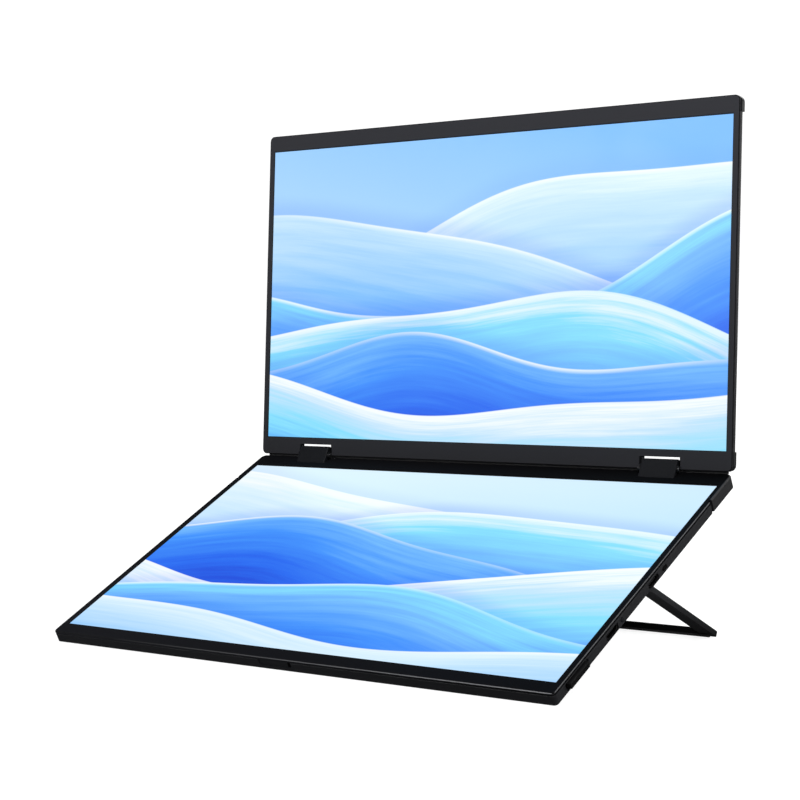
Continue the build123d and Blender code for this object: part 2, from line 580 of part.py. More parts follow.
# ================================================================ upper screen
with BuildPart() as upper_front_bezel:
    with BuildSketch(UPP):
        with Locations((0, UP_CY)):
            RectangleRounded(PANEL_W, UP_H, CORNER_R)
    extrude(amount=-UP_SPLIT)
    chamfer(upper_front_bezel.faces().sort_by(UPP_UP)[-1].edges(), 0.45)
    # groove along the parting line
    with BuildSketch(UPP.offset(-UP_SPLIT)):
        with Locations((0, UP_CY)):
            RectangleRounded(PANEL_W + 2.0, UP_H + 2.0, CORNER_R)
            RectangleRounded(PANEL_W - 2 * UP_GROOVE[1], UP_H - 2 * UP_GROOVE[1], CORNER_R - UP_GROOVE[1],
                             mode=Mode.SUBTRACT)
    extrude(amount=UP_GROOVE[0], mode=Mode.SUBTRACT)
    with BuildSketch(UPP):
        with Locations((0, UP_ACTIVE_CY)):
            Rectangle(WINDOW_W, WINDOW_H)
    extrude(amount=-UP_SPLIT, mode=Mode.SUBTRACT)
    chamfer(upper_front_bezel.faces().sort_by(UPP_UP)[-1].inner_wires()[0].edges(), 0.35)
    with BuildSketch(UPP.offset(-UP_LIP)):
        with Locations((0, UP_ACTIVE_CY)):
            Rectangle(POCKET_W, POCKET_H)
    extrude(amount=-(UP_SPLIT - UP_LIP), mode=Mode.SUBTRACT)
    # notches around the hinge knuckles
    with BuildSketch(UPP):
        for side in (-1, 1):
            with Locations((side * (NOTCH_IN + NOTCH_OUT) / 2, NOTCH_TOP / 2)):
                Rectangle(NOTCH_OUT - NOTCH_IN, NOTCH_TOP)
    extrude(amount=-UP_SPLIT, mode=Mode.SUBTRACT)
    with BuildSketch(UPP.offset(-UP_SPLIT)):
        with Locations(*UPP_SCREWS):
            Circle(0.75)
    extrude(amount=0.6, mode=Mode.SUBTRACT)
upper_front_bezel.part.label = "upper_front_bezel"
export_step(upper_front_bezel.part, "parts/upper_front_bezel.step")

with BuildPart() as upper_back_cover:
    with BuildSketch(UPP.offset(-UP_SPLIT)):
        with Locations((0, UP_CY)):
            RectangleRounded(PANEL_W, UP_H, CORNER_R)
    extrude(amount=-(UP_T - UP_SPLIT))
    fillet(upper_back_cover.faces().sort_by(UPP_UP)[0].edges(), 0.7)
    # skirt along the lower edge, behind the bezel
    with BuildSketch(UPP.offset(-UP_SKIRT_Z)):
        with Locations((0, (UP_SKIRT + 3.0) / 2)):
            Rectangle(PANEL_W - 2 * CORNER_R - 1.0, 3.0 - UP_SKIRT)
    extrude(amount=-(UP_T - UP_SKIRT_Z))
    low_back = Axis(UPP.origin, UPP.y_dir + UPP.z_dir)
    fillet(upper_back_cover.edges().filter_by(Axis.X).sort_by(low_back)[0], 0.6)
    # hollow inside, kept solid around the two hinge notches
    with BuildSketch(UPP.offset(-UP_SPLIT)):
        with Locations((0, UP_CY)):
            RectangleRounded(PANEL_W - 2 * UP_WALL, UP_H - 2 * UP_WALL, 1.6)
        for side in (-1, 1):
            with Locations((side * (NOTCH_IN + NOTCH_OUT) / 2, (NOTCH_TOP + 1.2) / 2)):
                Rectangle(NOTCH_OUT - NOTCH_IN + 2.4, NOTCH_TOP + 1.2, mode=Mode.SUBTRACT)
    extrude(amount=-(UP_T - UP_SPLIT - UP_FLOOR), mode=Mode.SUBTRACT)
    # screw posts, with their counterbored holes
    with BuildSketch(UPP.offset(-UP_SPLIT)):
        with Locations(*UPP_SCREWS):
            Circle(2.0)
    extrude(amount=-(UP_T - UP_SPLIT - UP_FLOOR))
    with BuildSketch(UPP.offset(-UP_SPLIT)):
        with Locations(*UPP_SCREWS):
            Circle(0.8)
    extrude(amount=-(UP_T - UP_SPLIT), mode=Mode.SUBTRACT)
    with BuildSketch(UPP.offset(-UP_T)):
        with Locations(*UPP_SCREWS):
            Circle(1.8)
    extrude(amount=0.6, mode=Mode.SUBTRACT)
    # hinge notches
    with BuildSketch(UPP.offset(-UP_SPLIT)):
        for side in (-1, 1):
            with Locations((side * (NOTCH_IN + NOTCH_OUT) / 2, NOTCH_TOP / 2)):
                Rectangle(NOTCH_OUT - NOTCH_IN, NOTCH_TOP)
    extrude(amount=-(UP_T - UP_SPLIT), mode=Mode.SUBTRACT)
    # slots where the ears of the leaves pass the wall of the notch
    with BuildSketch(UPP.offset(-UP_SPLIT)):
        for side in (-1, 1):
            with Locations((side * (NOTCH_IN + 0.4 + EAR_T / 2), NOTCH_TOP + 0.6)):
                Rectangle(EAR_T + 0.2, 1.4)
            with Locations((side * (NOTCH_OUT - 0.4 - EAR_OUT_T / 2), NOTCH_TOP + 0.6)):
                Rectangle(EAR_OUT_T + 0.2, 1.4)
    extrude(amount=-(UP_T - UP_FLOOR - UP_SPLIT), mode=Mode.SUBTRACT)
upper_back_cover.part.label = "upper_back_cover"
export_step(upper_back_cover.part, "parts/upper_back_cover.step")

with BuildPart() as upper_lcd_cell:
    with BuildSketch(UPP.offset(-0.75)):
        with Locations((0, UP_ACTIVE_CY)):
            Rectangle(CELL_W, CELL_H)
    extrude(amount=-0.9)
upper_lcd_cell.part.label = "upper_lcd_cell"
export_step(upper_lcd_cell.part, "parts/upper_lcd_cell.step")

with BuildPart() as upper_backlight:
    with BuildSketch(UPP.offset(-1.7)):
        with Locations((0, UP_ACTIVE_CY + 2.0)):
            Rectangle(CELL_W - 0.6, CELL_H - 4.6)
    extrude(amount=-0.9)
upper_backlight.part.label = "upper_backlight"
export_step(upper_backlight.part, "parts/upper_backlight.step")

with BuildPart() as upper_led_bar:
    with BuildSketch(UPP.offset(-1.7)):
        with Locations((0, UP_ACTIVE_CY - CELL_H / 2 + 2.0)):
            Rectangle(CELL_W - 8, 3.2)
    extrude(amount=-0.9)
upper_led_bar.part.label = "upper_led_bar"
export_step(upper_led_bar.part, "parts/upper_led_bar.step")

with BuildPart() as upper_chassis_plate:
    with BuildSketch(UPP.offset(-2.65)):
        with Locations((0, UP_ACTIVE_CY)):
            RectangleRounded(CELL_W - 0.6, CELL_H - 0.6, 2.0)
    extrude(amount=-0.25)
upper_chassis_plate.part.label = "upper_chassis_plate"
export_step(upper_chassis_plate.part, "parts/upper_chassis_plate.step")

with BuildPart() as upper_driver_board:
    with BuildSketch(UPP.offset(-1.7)):
        with Locations((0, 7.0)):
            RectangleRounded(200.0, 6.6, 0.8)
    extrude(amount=-0.6)
upper_driver_board.part.label = "upper_driver_board"
export_step(upper_driver_board.part, "parts/upper_driver_board.step")

with BuildPart() as upper_display_flex:
    with BuildSketch(UPP.offset(-2.95)):
        with Locations((0, 20.0)):
            Rectangle(46.0, 18.0)
    extrude(amount=-0.2)
upper_display_flex.part.label = "upper_display_flex"
export_step(upper_display_flex.part, "parts/upper_display_flex.step")

with BuildPart() as display_cable_upper:
    with BuildSketch(UPP.offset(-2.5)):
        with Locations((103.0, 7.0)):
            Rectangle(5.4, 4.0)
    extrude(amount=-0.5)
display_cable_upper.part.label = "display_cable_upper"
export_step(display_cable_upper.part, "parts/display_cable_upper.step")

BUMP_TOP, BUMP_LOW, BUMP_BACK = 0.7, 0.25, 1.1
with BuildPart() as upper_corner_bumpers:
    for grow, y in ((BUMP_TOP, UP_TOP - 3.6), (BUMP_LOW, UP_BOTTOM + 5.4)):
        with BuildSketch(UPP.offset(-1.7)):
            with Locations((0, UP_CY)):
                RectangleRounded(PANEL_W + 2 * grow, UP_H - 0.4, CORNER_R + grow)
            with Locations((SIDE - 3.5, y)):
                Rectangle(10.0, 12.0, mode=Mode.INTERSECT)
        extrude(amount=-(UP_T - 1.7 + BUMP_BACK))
    fillet(upper_corner_bumpers.faces().group_by(UPP_UP)[0].edges(), 0.5)
    with BuildSketch(UPP):
        with Locations((0, UP_CY)):
            RectangleRounded(PANEL_W, UP_H, CORNER_R)
    extrude(amount=-UP_T, mode=Mode.SUBTRACT)
    mirror(about=MID)
upper_corner_bumpers.part.label = "upper_corner_bumpers"
export_step(upper_corner_bumpers.part, "parts/upper_corner_bumpers.step")

with BuildPart() as upper_cover_screws:
    with BuildSketch(UPP.offset(-UP_T + 0.05)):
        with Locations(*UPP_SCREWS):
            Circle(1.65)
    extrude(amount=0.5)
    with BuildSketch(UPP.offset(-UP_T + 0.55)):
        with Locations(*UPP_SCREWS):
            Circle(0.7)
    extrude(amount=UP_T - 0.55 - 0.9)
    with BuildSketch(UPP.offset(-UP_T + 0.05)):
        with Locations(*UPP_SCREWS):
            Rectangle(1.8, 0.4)
            Rectangle(0.4, 1.8)
    extrude(amount=0.3, mode=Mode.SUBTRACT)
upper_cover_screws.part.label = "upper_cover_screws"
export_step(upper_cover_screws.part, "parts/upper_cover_screws.step")

with BuildPart() as hinge_upper_leaves:
    for x, thick in ((NOTCH_IN + 0.4, EAR_T), (NOTCH_OUT - 0.4 - EAR_OUT_T, EAR_OUT_T)):
        with BuildSketch(upp_section(x)):
            with Locations(AXIS_U):
                Circle(EAR_R)
            with Locations(((AXIS_U[0] + 10.9) / 2, -2.4)):
                Rectangle(10.9 - AXIS_U[0], 1.8)
            with Locations((12.0, -3.15)):
                Rectangle(4.0, 0.4)
            with Locations(AXIS_U):
                Circle(SHAFT_R + SHAFT_GAP, mode=Mode.SUBTRACT)
        extrude(amount=thick)
    with BuildSketch(UPP.offset(-2.95)):
        with Locations(((NOTCH_IN + NOTCH_OUT) / 2, 18.4)):
            Rectangle(32.4, 15.2)
            with GridLocations(20.0, 8.0, 2, 2):
                Circle(1.0, mode=Mode.SUBTRACT)
    extrude(amount=-0.4)
    mirror(about=MID)
hinge_upper_leaves.part.label = "hinge_upper_leaves"
export_step(hinge_upper_leaves.part, "parts/hinge_upper_leaves.step")

# ================================================================ stand
# Flat on the pivot end of each leg that meets the underside when the stand is open.
n_l = (-sin(a + g), cos(a + g))            # out of the lower face, in leg coordinates
r_l = (cos(a + g), sin(a + g))             # rearwards along the lower face
STOP_H = PIVOT_DROP - 0.09
stop_a = (STOP_H * n_l[0], STOP_H * n_l[1])
stop_b = (stop_a[0] + 1.48 * r_l[0], stop_a[1] + 1.48 * r_l[1])

for name, x0 in (("stand_right_leg", LEG_IN), ("stand_left_leg", -LEG_OUT)):
    with BuildPart() as leg:
        with BuildSketch(std_section(x0)):
            with Locations((NOSE_S / 2, LEG_MID)):
                Rectangle(NOSE_S, 2 * NOSE)
            with Locations((NOSE_S, LEG_MID)):
                Circle(NOSE)
        extrude(amount=LEG_W)
        # softened long edges and end, rounded outer corner at the foot
        fillet(leg.faces().sort_by(Axis.X)[-1].edges(), 0.45)
        fillet(leg.faces().sort_by(Axis.X)[0].edges(), 0.45)
        with BuildSketch(STD.offset(6.0)) as plan:
            with Locations((x0 + LEG_W / 2, LEG_L / 2 - 4.0)):
                Rectangle(LEG_W, LEG_L + 8.0)
            feet = plan.vertices().sort_by(Axis.Y)[-2:]
            fillet(feet.sort_by(Axis.X)[-1 if x0 > 0 else 0], 1.6)
        extrude(amount=-12.0, mode=Mode.INTERSECT)
        with BuildSketch(std_section(x0)):
            Circle(EYE_R)
            with BuildLine():
                Polyline((0, 0), stop_a, stop_b, (0.8, 2.6), (3.2, LEG_TOP), (3.2, 0), close=True)
            make_face()
            Circle(PIN_R + PIN_GAP, mode=Mode.SUBTRACT)
        extrude(amount=LEG_W)
        with BuildSketch(std_section(x0)):
            Circle(PIN_R + PIN_GAP)
        extrude(amount=LEG_W, mode=Mode.SUBTRACT)
    leg.part.label = name
    export_step(leg.part, "parts/" + name + ".step")

with BuildPart() as stand_crossbar:
    with BuildSketch(std_section(-LEG_IN)) as bar_shape:
        with Locations(((LEG_L - BAR_W + NOSE_S) / 2, LEG_MID)):
            Rectangle(NOSE_S - LEG_L + BAR_W, 2 * NOSE)
        with Locations((NOSE_S, LEG_MID)):
            Circle(NOSE)
        fillet(bar_shape.vertices().sort_by(Axis.X)[:2], 0.6)
    extrude(amount=2 * LEG_IN)
stand_crossbar.part.label = "stand_crossbar"
export_step(stand_crossbar.part, "parts/stand_crossbar.step")

with BuildPart() as stand_foot_strip:
    with BuildSketch(STD.offset(LEG_LOW)):
        with Locations((0, NOSE_S - 1.5)):
            Rectangle(2 * LEG_OUT - 7.0, 3.0)
    extrude(amount=-FOOT_T)
    # the strip stands flat on the floor
    with BuildSketch(Plane.XY):
        with Locations((0, HINGE_Y - 20.0)):
            Rectangle(400.0, 60.0)
    extrude(amount=-10.0, mode=Mode.SUBTRACT)
stand_foot_strip.part.label = "stand_foot_strip"
export_step(stand_foot_strip.part, "parts/stand_foot_strip.step")

# ================================================================ keys in the right-hand wall
with BuildPart() as power_button:
    with BuildSketch(low_section(SIDE + 0.55)):
        with Locations((from_front(POWER_U), SIDE_Z)):
            SlotOverall(4.6, 1.9)
    extrude(amount=-2.65)
    fillet(power_button.faces().sort_by(Axis.X)[-1].edges(), 0.3)
power_button.part.label = "power_button"
export_step(power_button.part, "parts/power_button.step")

with BuildPart() as menu_rocker:
    with BuildSketch(low_section(SIDE + ROCKER_OUT)):
        with Locations((from_front(ROCKER_U), ROCKER_Z)):
            RectangleRounded(ROCKER_L, ROCKER_H, 0.5)
    extrude(amount=-(ROCKER_OUT + 2.0))
    fillet(menu_rocker.faces().sort_by(Axis.X)[-1].edges(), 0.3)
    # two grip lines along its face
    with BuildSketch(low_section(SIDE + ROCKER_OUT)):
        with Locations((from_front(ROCKER_U), ROCKER_Z + 0.5), (from_front(ROCKER_U), ROCKER_Z - 0.5)):
            SlotOverall(ROCKER_L - 2.4, 0.4)
    extrude(amount=-0.25, mode=Mode.SUBTRACT)
    with BuildSketch(LOW.offset(PIVOT_TOP)):
        with Locations((PIVOT_X, from_front(ROCKER_U))):
            Circle(0.6)
    extrude(amount=-(PIVOT_TOP - PIVOT_LOW))
menu_rocker.part.label = "menu_rocker"
export_step(menu_rocker.part, "parts/menu_rocker.step")

print("hinge axis", AXIS_W, "in the lower screen", AXIS_L)
print("stand pivot", PIVOT_W, "leg length", LEG_L)
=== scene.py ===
import json
import math

import bmesh
import bpy
from mathutils import Matrix, Vector


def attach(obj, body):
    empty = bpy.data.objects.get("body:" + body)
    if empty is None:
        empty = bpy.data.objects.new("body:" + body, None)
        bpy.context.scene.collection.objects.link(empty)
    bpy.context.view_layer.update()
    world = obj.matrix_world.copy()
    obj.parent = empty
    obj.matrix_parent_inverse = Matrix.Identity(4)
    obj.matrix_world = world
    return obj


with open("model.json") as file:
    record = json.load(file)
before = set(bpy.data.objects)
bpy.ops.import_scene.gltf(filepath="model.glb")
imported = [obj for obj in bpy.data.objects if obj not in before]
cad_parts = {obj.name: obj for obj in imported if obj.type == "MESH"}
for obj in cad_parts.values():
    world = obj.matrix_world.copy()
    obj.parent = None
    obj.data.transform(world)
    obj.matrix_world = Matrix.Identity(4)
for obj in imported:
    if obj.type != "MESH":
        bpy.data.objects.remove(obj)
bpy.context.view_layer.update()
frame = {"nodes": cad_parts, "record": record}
NODES = frame["nodes"]

# ---------------------------------------------------------------- the part's own planes, in metres
MM = 0.001
HINGE = Vector((-0.65 * MM, 84.4263 * MM, 90.97 * MM))
LOW_DEG, UPP_DEG = 23.0, 83.8           # turn about X from the row frame to each screen's own frame
ACTIVE_W, ACTIVE_H = 344.2 * MM, 193.6 * MM
WINDOW_W, WINDOW_H = 345.0 * MM, 194.4 * MM
LOW_CY, UPP_CY = -108.4 * MM, 110.25 * MM
SIDE = 176.4 * MM
LOW_FRONT = 214.9 * MM

LOW = Matrix.Translation(HINGE) @ Matrix.Rotation(math.radians(LOW_DEG), 4, "X")
UPP = Matrix.Translation(HINGE) @ Matrix.Rotation(math.radians(UPP_DEG), 4, "X")


def lin(r, g, b):
    """Linear colour from 8-bit display values."""
    def one(c):
        c /= 255.0
        return c / 12.92 if c <= 0.04045 else ((c + 0.055) / 1.055) ** 2.4
    return (one(r), one(g), one(b), 1.0)


# ---------------------------------------------------------------- node helpers
class Tree:
    """A material with one Principled shader and short calls for the nodes that feed it."""

    def __init__(self, name):
        self.mat = bpy.data.materials.new(name)
        self.mat.use_nodes = True
        self.nt = self.mat.node_tree
        self.bsdf = next(n for n in self.nt.nodes if n.type == "BSDF_PRINCIPLED")

    def node(self, kind, **props):
        n = self.nt.nodes.new(kind)
        for k, v in props.items():
            setattr(n, k, v)
        return n

    def put(self, socket, value):
        if value is None:
            return
        if isinstance(value, bpy.types.NodeSocket):
            self.nt.links.new(value, socket)
        else:
            socket.default_value = value

    def math(self, op, a, b=None, c=None, clamp=False):
        n = self.node("ShaderNodeMath", operation=op, use_clamp=clamp)
        self.put(n.inputs[0], a)
        self.put(n.inputs[1], b)
        self.put(n.inputs[2], c)
        return n.outputs[0]

    def vec(self, op, a, b=None, scale=None):
        n = self.node("ShaderNodeVectorMath", operation=op)
        self.put(n.inputs[0], a)
        if b is not None:
            self.put(n.inputs[1], b)
        if scale is not None:
            self.put(n.inputs["Scale"], scale)
        return n.outputs["Value"] if op in ("DOT_PRODUCT", "LENGTH", "DISTANCE") else n.outputs["Vector"]

    def coords(self):
        return self.node("ShaderNodeTexCoord").outputs["Object"]

    def normal(self):
        return self.node("ShaderNodeTexCoord").outputs["Normal"]

    def local(self, degrees, origin=HINGE):
        """Position in a plane turned about X, as a vector."""
        moved = self.vec("SUBTRACT", self.coords(), tuple(origin))
        n = self.node("ShaderNodeVectorRotate", rotation_type="X_AXIS")
        self.put(n.inputs["Vector"], moved)
        n.inputs["Angle"].default_value = -math.radians(degrees)
        return n.outputs["Vector"]

    def local_normal(self, degrees):
        n = self.node("ShaderNodeVectorRotate", rotation_type="X_AXIS")
        self.put(n.inputs["Vector"], self.normal())
        n.inputs["Angle"].default_value = -math.radians(degrees)
        return n.outputs["Vector"]

    def xyz(self, v):
        n = self.node("ShaderNodeSeparateXYZ")
        self.put(n.inputs[0], v)
        return n.outputs[0], n.outputs[1], n.outputs[2]

    def join(self, x, y, z):
        n = self.node("ShaderNodeCombineXYZ")
        for s, v in zip(n.inputs, (x, y, z)):
            self.put(s, v)
        return n.outputs[0]

    def noise(self, v, scale, detail=3.0, rough=0.55, warp=0.0):
        n = self.node("ShaderNodeTexNoise")
        self.put(n.inputs["Vector"], v)
        n.inputs["Scale"].default_value = scale
        n.inputs["Detail"].default_value = detail
        n.inputs["Roughness"].default_value = rough
        n.inputs["Distortion"].default_value = warp
        return n.outputs[0]

    def cells(self, v, scale, feature="F1", spread=1.0):
        n = self.node("ShaderNodeTexVoronoi", feature=feature)
        self.put(n.inputs["Vector"], v)
        n.inputs["Scale"].default_value = scale
        n.inputs["Randomness"].default_value = spread
        return n.outputs["Distance"]

    def span(self, value, a, b, lo=0.0, hi=1.0, smooth=True):
        n = self.node("ShaderNodeMapRange", interpolation_type="SMOOTHSTEP" if smooth else "LINEAR")
        self.put(n.inputs[0], value)
        for i, x in enumerate((a, b, lo, hi)):
            self.put(n.inputs[i + 1], x)
        return n.outputs[0]

    def ramp(self, value, stops):
        n = self.node("ShaderNodeValToRGB")
        self.put(n.inputs[0], value)
        e = n.color_ramp.elements
        while len(e) < len(stops):
            e.new(0.5)
        for item, (at, colour) in zip(e, sorted(stops, key=lambda s: s[0])):
            item.position = at
            item.color = colour
        return n.outputs[0]

    def mix(self, factor, a, b, blend="MIX"):
        n = self.node("ShaderNodeMix", data_type="RGBA", blend_type=blend)
        self.put(n.inputs[0], factor)
        self.put(n.inputs[6], a)
        self.put(n.inputs[7], b)
        return n.outputs[2]

    def grey(self, value):
        n = self.node("ShaderNodeCombineColor")
        for s in n.inputs[:3]:
            self.put(s, value)
        return n.outputs[0]

    def bump(self, height, distance, strength=1.0, after=None):
        n = self.node("ShaderNodeBump")
        self.put(n.inputs["Height"], height)
        n.inputs["Distance"].default_value = distance
        n.inputs["Strength"].default_value = strength
        if after is not None:
            self.put(n.inputs["Normal"], after)
        return n.outputs[0]

    def set(self, **values):
        for k, v in values.items():
            self.put(self.bsdf.inputs[k.replace("_", " ")], v)
        return self


def shade(colour, f):
    return tuple(c * f for c in colour[:3]) + (1.0,)


# ---------------------------------------------------------------- materials
def moulded(name, colour, rough=0.5, shine=0.4, grain=0.26, depth=0.018, degrees=None, edge=None, edge_rough=0.3,
            outline=None, cloud=0.12, painted_light_ramp=None, lip=(1.2, 0.9), painted_highlight_run=None):
    """Moulded plastic with a fine spark-eroded grain and faint clouding; an edge colour painted along its outer
    bevelled edges as a highlight where it is lighter and as shade where it is darker, and a painted ramp of light and
    shade along the piece.
    """
    t = Tree(name)
    p = t.coords()
    fine = t.noise(p, 1.0 / (grain * MM), 2.0, 0.6)
    pits = t.cells(p, 0.8 / (grain * MM))
    broad = t.noise(p, 38.0, 4.0, 0.6, 0.3)
    patch = t.noise(p, 7.0, 3.0, 0.55)
    tone = t.math("MULTIPLY_ADD", broad, cloud, 1.0 - cloud / 2)
    tone = t.math("MULTIPLY", tone, t.math("MULTIPLY_ADD", fine, 0.22, 0.89))
    for axis, *ends in painted_light_ramp or ():
        # painted light and shade: a slow ramp of tone along the piece
        tone = t.math("MULTIPLY", tone, t.span(t.xyz(t.local(degrees))[axis], *ends, smooth=False))
    base = t.mix(1.0, colour, t.grey(tone), "MULTIPLY")
    # specks of settled dust
    dust = t.span(t.cells(p, 260.0), 0.035, 0.02)
    dust = t.math("MULTIPLY", dust, t.span(patch, 0.5, 0.7, 0.0, 0.16))
    base = t.mix(dust, base, (0.16, 0.16, 0.165, 1.0))
    r = t.math("MULTIPLY_ADD", broad, 0.16, rough - 0.08)
    r = t.math("ADD", r, t.span(patch, 0.35, 0.7, -0.03, 0.04))
    if edge is not None:
        nx, ny, nz = t.xyz(t.local_normal(degrees))
        cut = t.math("MULTIPLY", t.span(nz, 0.45, 0.6), t.span(nz, 0.93, 0.8))
        lx, ly, lz = t.xyz(t.local(degrees))
        if painted_highlight_run is not None:
            # painted highlight: the edge colour is brighter towards one end, and dimmer along the sides
            highlight_gain = t.math("MULTIPLY", t.span(lx, *painted_highlight_run, smooth=False),
                          t.span(t.math("ABSOLUTE", lx), outline[0] - 0.8 * MM, outline[0] - 0.6 * MM, 1.0, 0.58))
            edge = t.mix(1.0, edge, t.grey(highlight_gain), "MULTIPLY")
        half, near, far = outline
        a, b = lip[0] * MM, lip[1] * MM
        rim = t.math("MAXIMUM", t.span(t.math("ABSOLUTE", lx), half - a, half - b),
                     t.math("MAXIMUM", t.span(ly, near + a, near + b), t.span(ly, far - a, far - b)))
        cut = t.math("MULTIPLY", cut, rim)
        streak = t.noise(t.vec("MULTIPLY", p, (60.0, 900.0, 900.0)), 1.0, 2.0, 0.5)
        # painted highlight where the edge colour is lighter, painted shade where it is darker, broken up by streaks
        # along the edge
        painted_edge_mask = t.math("MULTIPLY", cut, t.span(streak, 0.2, 0.8, 0.75, 1.0))
        base = t.mix(painted_edge_mask, base, edge)
        r = t.math("MULTIPLY_ADD", cut, edge_rough - rough, r)
    height = t.math("ADD", t.math("MULTIPLY", fine, 0.6), t.math("MULTIPLY", pits, 0.5))
    t.set(Base_Color=base, Roughness=r, Specular_IOR_Level=shine, Normal=t.bump(height, depth * MM, 0.7))
    return t.mat


def brushed(name, colour, degrees, rough=0.42, shine=0.34, side=None, side_rough=0.5, painted_side_light=1.0):
    """Dark shell with hairlines drawn across its outer face, faint wipe marks, and plain moulded sides with painted
    light: lighter towards the left end and on the faces turned to +X.
    """
    t = Tree(name)
    q = t.local(degrees)
    p = t.coords()
    hair = t.noise(t.vec("MULTIPLY", q, (14.0, 3200.0, 14.0)), 1.0, 3.0, 0.6)
    band = t.noise(t.vec("MULTIPLY", q, (3.0, 420.0, 3.0)), 1.0, 4.0, 0.7)
    wipe = t.noise(t.vec("MULTIPLY", q, (16.0, 9.0, 9.0)), 1.0, 4.0, 0.6, 0.8)
    grit = t.noise(p, 2900.0, 2.0, 0.6)
    tone = t.math("MULTIPLY", t.math("MULTIPLY_ADD", hair, 0.5, 0.75), t.math("MULTIPLY_ADD", band, 0.7, 0.65))
    tone = t.math("MULTIPLY", tone, t.math("MULTIPLY_ADD", wipe, 0.24, 0.88))
    base = t.mix(1.0, colour, t.grey(tone), "MULTIPLY")
    r = t.math("MULTIPLY_ADD", band, 0.2, rough - 0.1)
    r = t.math("ADD", r, t.span(wipe, 0.35, 0.7, -0.04, 0.05))
    face = t.span(t.math("MULTIPLY", t.xyz(t.local_normal(degrees))[2], -1.0), 0.75, 0.95)
    # painted light: the sides are coloured lighter towards the left end, and again where they face +X
    plain = t.math("MULTIPLY", t.math("MULTIPLY_ADD", grit, 0.3, 0.85), t.span(t.xyz(q)[0], -175.0 * MM, 100.0 * MM, 1.45, 1.0, smooth=False))
    plain = t.math("MULTIPLY", plain, t.span(t.xyz(t.local_normal(degrees))[0], 0.5, 0.9, 1.0, painted_side_light))
    plain = t.mix(1.0, side, t.grey(plain), "MULTIPLY")
    base = t.mix(face, plain, base)
    r = t.math("ADD", t.math("MULTIPLY", face, r), t.math("MULTIPLY", t.math("SUBTRACT", 1.0, face), side_rough))
    h = t.math("ADD", t.math("MULTIPLY", t.math("MULTIPLY", hair, face), 0.6), t.math("MULTIPLY", grit, 0.5))
    t.set(Base_Color=base, Roughness=r, Specular_IOR_Level=shine, Normal=t.bump(h, 0.02 * MM, 0.6))
    return t.mat


def painted(name, colour, rough=0.38, shine=0.45, front=None, painted_floor_shade=None):
    """Powder-coated metal: orange-peel skin, fine sparkle, slight rub marks, and where asked painted shade towards the
    floor and on faces turned forward.
    """
    t = Tree(name)
    p = t.coords()
    peel = t.noise(p, 900.0, 2.0, 0.5)
    fine = t.noise(p, 5200.0, 2.0, 0.6)
    broad = t.noise(p, 30.0, 4.0, 0.6)
    rub = t.noise(t.vec("MULTIPLY", p, (900.0, 60.0, 60.0)), 1.0, 4.0, 0.65)
    tone = t.math("MULTIPLY_ADD", broad, 0.18, 0.91)
    tone = t.math("MULTIPLY", tone, t.math("MULTIPLY_ADD", fine, 0.3, 0.85))
    if painted_floor_shade is not None:
        # painted shade: darker towards the floor
        tone = t.math("MULTIPLY", tone, t.span(t.xyz(p)[2], *painted_floor_shade, smooth=False))
    base = t.mix(1.0, colour, t.grey(tone), "MULTIPLY")
    base = t.mix(t.span(rub, 0.66, 0.78, 0.0, 0.10), base, (0.11, 0.11, 0.115, 1.0))
    # painted shade: faces turned towards -Y take the darker front colour
    if front is not None:
        base = t.mix(t.span(t.xyz(t.normal())[1], -0.1, -0.5), base, front)
    r = t.math("MULTIPLY_ADD", broad, 0.14, rough - 0.07)
    h = t.math("ADD", t.math("MULTIPLY", peel, 0.7), t.math("MULTIPLY", fine, 0.4))
    t.set(Base_Color=base, Roughness=r, Specular_IOR_Level=shine, Normal=t.bump(h, 0.03 * MM, 0.6))
    return t.mat


def metal(name, colour, rough=0.3, along=(1200.0, 60.0, 60.0), stain=0.25):
    """Bare or plated sheet metal with drawing lines and faint discolouring."""
    t = Tree(name)
    p = t.coords()
    lines = t.noise(t.vec("MULTIPLY", p, along), 1.0, 5.0, 0.7)
    broad = t.noise(p, 55.0, 4.0, 0.6)
    tone = t.math("MULTIPLY_ADD", lines, 0.24, 0.86)
    tone = t.math("MULTIPLY", tone, t.math("MULTIPLY_ADD", broad, stain, 1.0 - stain / 2))
    base = t.mix(1.0, colour, t.grey(tone), "MULTIPLY")
    r = t.math("MULTIPLY_ADD", lines, 0.2, rough - 0.1)
    t.set(Base_Color=base, Roughness=r, Normal=t.bump(lines, 0.01 * MM, 0.5))
    t.bsdf.inputs["Metallic"].default_value = 1.0
    return t.mat


def rubber(name, colour, rough=0.78):
    t = Tree(name)
    p = t.coords()
    fine = t.noise(p, 3600.0, 3.0, 0.65)
    broad = t.noise(p, 70.0, 3.0, 0.6)
    tone = t.math("MULTIPLY", t.math("MULTIPLY_ADD", broad, 0.3, 0.85), t.math("MULTIPLY_ADD", fine, 0.3, 0.85))
    base = t.mix(1.0, colour, t.grey(tone), "MULTIPLY")
    t.set(Base_Color=base, Roughness=t.math("MULTIPLY_ADD", fine, 0.14, rough - 0.07), Specular_IOR_Level=0.3,
          Normal=t.bump(fine, 0.04 * MM, 0.7))
    return t.mat


